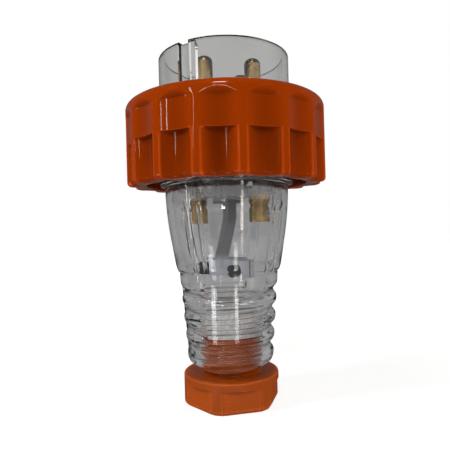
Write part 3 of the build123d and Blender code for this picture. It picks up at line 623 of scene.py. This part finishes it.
def shade_hollows(tree, shader, outer, inner, low, step, amount, low_share=0.0, grain=0.0):
    """Puts painted shade between two radii and two heights over a finish's colour, all in metres; a negative
    amount makes the colour paler instead.
    """
    shade = group_node(tree, "hollow_shade", Amount=amount, Grain=grain, Low=low, Step=step)
    shade.inputs["Outer Radius"].default_value = outer
    shade.inputs["Inner Radius"].default_value = inner
    shade.inputs["Low Share"].default_value = low_share
    tree.links.new(shader.inputs["Base Color"].links[0].from_socket, shade.inputs["Color"])
    tree.links.new(shade.outputs["Color"], shader.inputs["Base Color"])


# One operator for the stage, one for the finishes, and one for each group of like pieces


class PLUG_OT_stage(bpy.types.Operator):
    """Floor, backdrop, lamps and the camera at the plug's height"""

    bl_idname = "plug.stage"
    bl_label = "Stage"

    def execute(self, context):
        stage = context.scene.plug_stage
        scene = context.scene
        self.add_camera(scene, stage)
        scene.view_settings.view_transform = "Standard"
        self.add_floor(scene)
        self.add_world(scene)
        for name, spot, aim, sides, share, color, hidden in LAMPS:
            lamp = self.add_lamp(scene, name, spot, aim, sides, stage.key_power * share, color)
            for ray in hidden:
                setattr(lamp, "visible_" + ray, False)
        return {"FINISHED"}

    def add_camera(self, scene, stage):
        camera_data = bpy.data.cameras.new("camera")
        camera_data.sensor_width = 36.0
        camera_data.lens = stage.focal_length
        camera_data.clip_start = 0.01
        camera_data.shift_x, camera_data.shift_y = stage.frame_shift
        camera = bpy.data.objects.new("camera", camera_data)
        level = Matrix.Rotation(radians(90), 4, "X") @ Matrix.Rotation(-stage.lean, 4, "Z")
        camera.matrix_world = Matrix.Translation((0, -stage.distance, stage.eye_height)) @ level
        scene.collection.objects.link(camera)
        scene.camera = camera

    def add_floor(self, scene):
        """A pale floor that keeps the shadow, white to the camera and dimmer in what mirrors it."""
        mesh = bpy.data.meshes.new("floor")
        half = 3.0
        corners = [(-half, -half, 0), (half, -half, 0), (half, half, 0), (-half, half, 0)]
        mesh.from_pydata(corners, [], [(0, 1, 2, 3)])
        board = bpy.data.objects.new("floor", mesh)
        scene.collection.objects.link(board)
        tree, shader = new_material("pale_floor")
        shader.inputs["Roughness"].default_value = 0.9
        shader.inputs["Specular IOR Level"].default_value = 0.0
        spot = tree.nodes.new("ShaderNodeTexCoord")
        reach = add_node(tree, "ShaderNodeVectorMath", operation="LENGTH")
        tree.links.new(spot.outputs["Object"], reach.inputs[0])
        distance = reach.outputs["Value"]
        tone = group_node(tree, "moulded_tone", Color=(0.28, 0.28, 0.28, 1), Drift=0.01, Scale=6.0)
        rays = tree.nodes.new("ShaderNodeLightPath").outputs
        pale = mix_color(tree, rays["Is Glossy Ray"], tone.outputs["Color"], (0.04, 0.035, 0.03, 1))
        tree.links.new(pale, shader.inputs["Base Color"])
        away = map_range(tree, distance, 0.08, 0.35)
        white = mix_color(tree, away, (0.80, 0.80, 0.80, 1), (1, 1, 1, 1))
        tree.links.new(white, shader.inputs["Emission Color"])
        dim = map_range(tree, distance, 0.20, 0.60, start=0.03, end=0.08)
        dim = map_range(tree, rays["Is Diffuse Ray"], 0.0, 1.0, start=dim, end=0.60)
        dim = map_range(tree, rays["Is Transmission Ray"], 0.0, 1.0, start=dim, end=0.36)
        strength = math_node(tree, "MAXIMUM", dim, rays["Is Camera Ray"])
        tree.links.new(strength, shader.inputs["Emission Strength"])
        mesh.materials.append(bpy.data.materials["pale_floor"])

    def add_world(self, scene):
        """White behind the plug, and a dimmer room in front of it for what its surfaces mirror."""
        world = bpy.data.worlds.new("studio")
        world.use_nodes = True
        scene.world = world
        tree = world.node_tree
        background = tree.nodes["Background"]
        background.inputs["Color"].default_value = (1, 1, 1, 1)
        rays = tree.nodes.new("ShaderNodeLightPath").outputs
        direction = tree.nodes.new("ShaderNodeTexCoord")
        split = tree.nodes.new("ShaderNodeSeparateXYZ")
        tree.links.new(direction.outputs["Generated"], split.inputs[0])
        mirrored = map_range(tree, split.outputs["Y"], -0.25, 0.45, start=0.03, end=0.14)
        behind = map_range(tree, split.outputs["Z"], 0.08, 0.26, start=0.32, end=0.42)
        through_clear = map_range(tree, split.outputs["Y"], -0.15, 0.45, start=1.30, end=behind)
        dim = map_range(tree, rays["Is Glossy Ray"], 0.0, 1.0, start=0.05, end=mirrored)
        dim = map_range(tree, rays["Is Transmission Ray"], 0.0, 1.0, start=dim, end=through_clear)
        strength = math_node(tree, "MAXIMUM", dim, rays["Is Camera Ray"])
        tree.links.new(strength, background.inputs["Strength"])

    def add_lamp(self, scene, name, spot, aim, sides, power, color):
        lamp_data = bpy.data.lights.new(name, "AREA")
        lamp_data.shape = "RECTANGLE"
        lamp_data.size, lamp_data.size_y = sides
        lamp_data.energy = power
        lamp_data.color = color
        lamp = bpy.data.objects.new(name, lamp_data)
        lamp.location = spot
        towards = Vector((0, 0, aim)) - Vector(spot)
        lamp.rotation_euler = towards.to_track_quat("-Z", "Y").to_euler()
        scene.collection.objects.link(lamp)
        return lamp


class PLUG_OT_finishes(bpy.types.Operator):
    """The materials, and the finish of each CAD node"""

    bl_idname = "plug.finishes"
    bl_label = "Finishes"

    def execute(self, context):
        look = context.scene.plug_finish
        self.orange_finishes(look, context.scene.plug_ring)
        self.clamp_finish(look)
        clear("clear_shell", look.shell_tint, roughness=0.010, smear=0.05, wave=60.0, strength=0.06)
        clear("clear_skirt", look.skirt_tint, roughness=0.015, smear=0.04, wave=40.0, strength=0.05)
        metal("dull_brass", look.brass, drift=0.35, roughness=0.24, smear=0.15, turned=8.0)
        metal("plated_steel", look.steel, drift=0.2, roughness=0.25, smear=0.12, turned=4.0)
        metal("black_steel", look.black_steel, drift=0.3, roughness=0.30, smear=0.15, turned=4.0)
        moulded(
            "pale_seal", look.seal_grey,
            drift=0.15, roughness=0.55, smear=0.15, grain=2400.0, strength=0.25, specular=0.4,
        )
        moulded(
            "soft_rubber", look.face_rubber,
            drift=0.25, roughness=0.65, smear=0.15, grain=3000.0, strength=0.35, specular=0.3,
        )
        milky = moulded(
            "milky_plastic", look.carrier_tint,
            drift=0.12, roughness=0.25, smear=0.15, grain=900.0, strength=0.15, specular=0.5,
        )[1]
        milky.inputs["Transmission Weight"].default_value = 0.45
        slot_of = {entry["node"]: entry["material_slot"] for entry in frame["record"]["subparts"]}
        for name, node in frame["nodes"].items():
            finish = FINISH_OF_NODE.get(name, FINISH_OF_SLOT[slot_of[name]])
            for slot in node.material_slots:
                slot.material = bpy.data.materials[finish]
        return {"FINISHED"}

    def orange_finishes(self, look, ring):
        """The ring's finish, with painted shade in its hollows and a painted highlight along its edges, and
        the nut's, paler in the panels of its flats and with painted shade on its collar's top and spigot.
        """
        low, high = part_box("lock_ring")
        # Wear 0.9 with few gaps paints a nearly unbroken highlight along the ring's edges.
        tree, shader = moulded(
            "ring_orange", look.ring_orange,
            drift=0.06, roughness=0.05, smear=0.06, grain=300.0, strength=0.03, specular=0.20,
            wear_and_highlight=0.9, gaps=0.2,
        )
        # Painted shade: darkest in the lower hollows just under the step, less towards the underside, and
        # less in the shallower upper hollows.
        shade_hollows(
            tree, shader,
            outer=high[0] - 0.2 * MM, inner=high[0] - ring.lower_depth,
            low=low[2], step=low[2] + ring.step_height, amount=0.50, low_share=0.55,
        )
        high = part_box("gland_nut")[1]
        tree, shader = moulded(
            "nut_orange", look.nut_orange,
            drift=0.10, roughness=0.30, smear=0.10, grain=2600.0, strength=0.22, specular=0.25,
            wear_and_highlight=0.8, gaps=0.4,
        )
        shade_hollows(
            tree, shader,
            outer=high[0] - 0.15 * MM, inner=high[0] - 0.30 * MM,
            low=14.0 * MM, step=10.0 * MM, amount=-0.40, grain=1.0,
        )
        # Painted shade on the collar's top and the spigot, which sit under the shell and the ring.
        shade_hollows(
            tree, shader,
            outer=high[0] - 0.4 * MM, inner=high[0] - 1.4 * MM,
            low=11.3 * MM, step=12.0 * MM, amount=0.35,
        )

    def clamp_finish(self, look):
        """The clamp's grey, with painted shade over it, most on the arm above the jaws."""
        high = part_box("clamp_saddle")[1]
        tree, shader = moulded(
            "clamp_grey", look.clamp_grey,
            drift=0.15, roughness=0.30, smear=0.15, grain=1800.0, strength=0.10, specular=0.5,
            wear_and_highlight=0.6,
        )
        shade_hollows(
            tree, shader,
            outer=31.0 * MM, inner=30.0 * MM,
            low=high[2], step=high[2] + 3.0 * MM, amount=0.75, low_share=0.55,
        )


class PLUG_OT_lock_ring(bpy.types.Operator):
    """The scalloped lock ring with rounded lands and its inner thread"""

    bl_idname = "plug.lock_ring"
    bl_label = "Lock ring"

    def execute(self, context):
        ring = shape_values(context.scene.plug_ring)
        low, high = box_mm("lock_ring")
        bottom, top, radius = low[2], high[2], high[0]
        half = ring.chord / 2
        rim_sag = radius - sqrt(radius**2 - half**2)
        step = bottom + ring.step_height
        step_below, step_above = 0.30, 0.12
        hollow_top = top - ring.top_margin
        roof_low = hollow_top - ring.roof_height
        shoulder_low = top - ring.shoulder
        edge_top = bottom + ring.bottom_edge
        roof_overrun = 1.6
        no_hollow = radius + 5
        pitch = 360.0 / ring.scallops

        def hollow(offset, depth, shrink):
            """Radius of a hollow's floor, which is cut by a cylinder that stands outside the ring."""
            sagitta = depth - rim_sag
            curve = (sagitta**2 + half**2) / (2 * sagitta)
            centre = radius - depth + curve
            reach = centre * sin(radians(offset))
            inner = (curve - shrink) ** 2 - reach**2
            if inner <= 0:
                return no_hollow
            return centre * cos(radians(offset)) - sqrt(inner)

        def outer(bearing, height):
            offset = nearest_offset(bearing, ring.first_bearing, pitch)
            drop = rounding_drop(ring.bottom_edge, max(0.0, edge_top - height))
            if height > shoulder_low:
                drop += rounding_drop(ring.shoulder, height - shoulder_low)
            roof = max(0.0, (height - roof_low) / ring.roof_height)
            upper = hollow(offset, ring.upper_depth, min(roof, roof_overrun) * ring.upper_depth)
            lower = hollow(offset, ring.lower_depth, 0.0)
            blend = smooth_step(step - step_below, step + step_above, height)
            lands = soft_min(radius, lower * (1 - blend) + upper * blend, ring.edge)
            if height > hollow_top + ring.roof_height:
                lands = radius
            return lands - drop

        outside = levels(
            (bottom, edge_top, 7),
            (edge_top, step - 0.5, 9),
            (step - 0.5, step + 0.3, 8),
            (step + 0.3, roof_low, 7),
            (roof_low, hollow_top + 0.4, 9),
            (hollow_top + 0.4, top, 9),
        )
        web_low = bottom + ring.skirt
        web_high = web_low + ring.web
        thread_low = top - ring.thread_length
        root = radius - ring.wall
        web_bore = root - ring.web_reach
        chamfer = 0.4
        web_edge = 0.3
        rear = root - chamfer
        mouth = [(root + 3 * chamfer, top), (root + chamfer, top - 0.3 * chamfer)]
        recess = [
            (root, thread_low),
            (root, web_high + chamfer),
            (root - chamfer, web_high),
            (web_bore + web_edge, web_high),
            (web_bore, web_high - web_edge),
            (web_bore, web_low + web_edge),
            (web_bore + web_edge, web_low),
            (rear - chamfer, web_low),
            (rear, web_low - chamfer),
            (rear, bottom + 0.5),
            (rear + 0.15, bottom + 0.15),
            (rear + 0.5, bottom),
        ]
        bore = levels((top - 1.4, thread_low + 0.2, 34))

        def outline(bearing):
            loop = [(outer(bearing, z), z) for z in outside] + mouth
            for z in bore:
                fade = smooth_step(thread_low, thread_low + 1.5, z) * smooth_step(top, top - 2.5, z)
                cut = thread_depth(bearing, z, ring.thread_pitch)
                loop.append((root - ring.thread_height * (1 - cut) * fade, z))
            return loop + recess

        piece = closed_grid("ring_body", outline, even_bearings(ring.scallops * 40))
        place(piece, "ring_orange", "ring", "orange_gloss", "lock_ring")
        return {"FINISHED"}


class PLUG_OT_rear_shell(bpy.types.Operator):
    """The clear shell: ribbed grip panels, taper, flange, gland thread and inner stiffeners"""

    bl_idname = "plug.rear_shell"
    bl_label = "Rear shell"

    def execute(self, context):
        shell = shape_values(context.scene.plug_shell)
        low, high = box_mm("rear_shell")
        bottom, top, flange = low[2], high[2], high[0]
        first = bottom + shell.first_rib
        last = first + shell.grooves * shell.rib_pitch
        shoulder = last + shell.rib_pitch / 2
        ledge = shoulder + 0.6
        grip = [
            (bottom, 17.3),
            (first, 17.65),
            (27.3, 18.15),
            (34.6, 18.8),
            (41.9, 19.35),
            (49.2, 19.95),
            (shoulder, 20.1),
        ]
        taper = [
            (ledge, 20.75),
            (shoulder + 2.2, 21.35),
            (57.5, 21.85),
            (63.6, 22.85),
            (69.8, 23.85),
            (75.8, 24.6),
            (83.0, 25.1),
            (88.0, 25.25),
        ]
        foot_drop = 3.75
        foot_power = 2.6
        groove_power = 1.8
        panel_outer = shell.panel_width / 2 + 0.8
        panel_inner = shell.panel_width / 2 - 1.8
        sides = (-shell.panel_spacing, shell.panel_spacing, 180.0)
        panels = [shell.plain_front + side for side in sides]

        def outer(bearing, height):
            if height > ledge:
                return through(taper, height)
            if height > shoulder:
                share = (height - shoulder) / (ledge - shoulder)
                return grip[-1][1] + share * (taper[0][1] - grip[-1][1])
            base = through(grip, height)
            if height < first:
                drop = (first - height) / shell.first_rib
                base -= foot_drop * (1 - sqrt(max(0.0, 1 - drop**foot_power)))
            away = min(abs(nearest_offset(bearing, panel, 360.0)) for panel in panels)
            inside = smooth_step(panel_outer, panel_inner, away)
            if first < height < last:
                wave = 0.5 - 0.5 * cos(2 * pi * (height - first) / shell.rib_pitch)
                base -= shell.groove_depth * wave**groove_power * inside
            return base

        neck_top = top - 3.6
        outside = levels(
            (bottom, first, 12),
            (first, last, 64),
            (last, shoulder, 3),
            (shoulder, ledge, 3),
            (ledge, shoulder + 3, 4),
            (shoulder + 3, neck_top, 16),
        )
        flange_low = top - 3.0
        corner = 0.4
        seat, seat_floor = 24.5, top - 2.0
        spigot_bore, spigot_floor = 22.8, top - 6.0
        mouth = [
            (flange - corner, flange_low),
            (flange, flange_low + corner),
            (flange, top - corner),
            (flange - corner, top),
            (seat + corner, top),
            (seat, top - 0.3),
            (seat, seat_floor),
            (spigot_bore, seat_floor),
            (spigot_bore, spigot_floor),
        ]
        cavity_top = 79.3
        gland_roof = 42.5
        cavity = [
            (gland_roof, 16.3),
            (47.0, 16.9),
            (shoulder, 17.25),
            (shoulder + 3.2, 18.5),
            (62.0, 20.0),
            (70.3, 21.4),
            (78.0, 22.5),
            (cavity_top, spigot_bore),
        ]
        cavity_levels = levels((cavity_top, 58.0, 14), (58.0, gland_roof + 0.4, 12))
        lip = 9.0
        gland_top = 40.9
        roof = [
            (16.0, gland_roof + 0.1),
            (15.5, gland_roof),
            (lip + 0.4, gland_roof),
            (lip, gland_roof - 0.3),
            (lip, gland_top + 0.3),
            (lip + 0.3, gland_top),
            (12.3, gland_top),
        ]
        gland_bore = 12.6
        gland_crest = 0.55
        gland_levels = levels((gland_top - 0.4, bottom + 1.2, 84))
        foot = [(gland_bore + 0.3, bottom + 0.4), (gland_bore + 0.7, bottom)]
        stiffeners = []
        for quarter in range(4):
            middle = shell.stiffener_bearing + 90.0 * quarter
            stiffeners += [middle - shell.stiffener_spread, middle + shell.stiffener_spread]
        cavity_radius = 21.0

        def stiffener(bearing):
            """Share of a stiffener's height at a bearing, with its sides rounded."""
            away = min(abs(nearest_offset(bearing, middle, 360.0)) for middle in stiffeners)
            return smooth_step(0.95, 0.45, radians(away) * cavity_radius)

        def outline(bearing):
            loop = [(outer(bearing, z), z) for z in outside]
            neck = outer(bearing, neck_top)
            loop += [(neck + 0.05, flange_low - 0.3), (neck + 0.35, flange_low)] + mouth
            rib = stiffener(bearing) * shell.stiffener_height
            for z in cavity_levels:
                fade = smooth_step(cavity_top, 77.5, z) * smooth_step(54.5, 57.0, z)
                loop.append((through(cavity, z) - rib * fade, z))
            loop += roof
            for z in gland_levels:
                fade = smooth_step(40.6, 39.0, z) * smooth_step(bottom + 1.0, bottom + 2.6, z)
                cut = thread_depth(bearing, z, shell.thread_pitch)
                loop.append((gland_bore + gland_crest * fade * (1 - cut), z))
            return loop + foot

        panel_ends = [panel + side * shell.panel_width / 2 for panel in panels for side in (-1, 1)]
        bearings = crowded_bearings(stiffeners + panel_ends, reach=3.2, fine=0.5, coarse=1.1)
        piece = closed_grid("shell_body", outline, bearings)
        place(piece, "clear_shell", "shell", "clear_plastic", "rear_shell")
        return {"FINISHED"}


class PLUG_OT_gland_nut(bpy.types.Operator):
    """The gland nut: round collar, recessed flats and the thread on its spigot"""

    bl_idname = "plug.gland_nut"
    bl_label = "Gland nut"

    def execute(self, context):
        nut = shape_values(context.scene.plug_nut)
        pitch = shape_values(context.scene.plug_shell).thread_pitch
        high = box_mm("gland_nut")[1]
        radius, spigot_top = high[0], high[2]
        collar_top = nut.collar_top
        flat_top = collar_top - nut.collar
        flat = radius - nut.flat_cut
        collar_edge = 0.5
        foot_chamfer = 1.1
        foot_slope = 0.85
        panel_side = 0.5

        def outer(bearing, height):
            offset = nearest_offset(bearing, nut.flat_bearing, 60.0)
            level = flat / cos(radians(offset))
            inside = smooth_step(nut.panel_half + panel_side, nut.panel_half - panel_side, abs(offset))
            recess = smooth_step(flat_top + 0.12, flat_top - 0.30, height)
            reach = min(radius - nut.panel_depth, level)
            reach = radius + (reach - radius) * recess * inside
            if height > collar_top - collar_edge:
                reach -= rounding_drop(collar_edge, height - (collar_top - collar_edge))
            if height < foot_chamfer:
                reach -= (foot_chamfer - height) * foot_slope
            return reach

        outside = levels(
            (0.0, foot_chamfer, 4),
            (foot_chamfer, flat_top - 0.5, 8),
            (flat_top - 0.5, flat_top + 0.3, 6),
            (flat_top + 0.3, collar_top - collar_edge, 4),
            (collar_top - collar_edge, collar_top, 5),
        )
        crest = 12.45
        depth = 0.55
        bore = 8.6
        spigot_foot = [(14.5, collar_top), (12.6, collar_top + 0.02), (12.2, collar_top + 0.12)]
        spigot = levels((collar_top + 0.3, spigot_top - 0.5, 76))
        inside_bore = [
            (11.5, spigot_top),
            (bore + 0.4, spigot_top),
            (bore, spigot_top - 0.4),
            (bore, 1.6),
            (bore + 1.6, 0.0),
        ]

        def outline(bearing):
            loop = [(outer(bearing, z), z) for z in outside] + spigot_foot
            for z in spigot:
                fade = smooth_step(collar_top + 0.6, collar_top + 1.8, z)
                fade *= smooth_step(spigot_top - 0.5, spigot_top - 1.8, z)
                cut = thread_depth(bearing, z, pitch)
                loop.append((crest - depth * (1 - fade * (1 - cut)), z))
            return loop + inside_bore

        piece = closed_grid("nut_body", outline, even_bearings(480))
        place(piece, "nut_orange", "nut", "orange_satin", "gland_nut")
        return {"FINISHED"}


class PLUG_PT_panel(bpy.types.Panel):
    """Lists the steps that dress the plug, and its settings"""

    bl_label = "Industrial plug"
    bl_idname = "PLUG_PT_panel"
    bl_space_type = "VIEW_3D"
    bl_region_type = "UI"
    bl_category = "Plug"

    def draw(self, context):
        for step in STEPS:
            self.layout.operator(step.bl_idname)
        for name, group in SETTINGS.items():
            settings = getattr(context.scene, name)
            box = self.layout.box()
            for key in group.__annotations__:
                box.prop(settings, key)


STEPS = (
    PLUG_OT_stage,
    PLUG_OT_finishes,
    PLUG_OT_lock_ring,
    PLUG_OT_rear_shell,
    PLUG_OT_gland_nut,
)
CLASSES = (*SETTINGS.values(), *STEPS, PLUG_PT_panel)


def register():
    for item in CLASSES:
        bpy.utils.register_class(item)
    for name, group in SETTINGS.items():
        setattr(bpy.types.Scene, name, PointerProperty(type=group))


def unregister():
    for name in SETTINGS:
        delattr(bpy.types.Scene, name)
    for item in reversed(CLASSES):
        bpy.utils.unregister_class(item)


def main():
    register()
    bpy.ops.plug.stage()
    bpy.ops.plug.finishes()
    bpy.ops.plug.lock_ring()
    bpy.ops.plug.rear_shell()
    bpy.ops.plug.gland_nut()


if __name__ == "__main__":
    main()
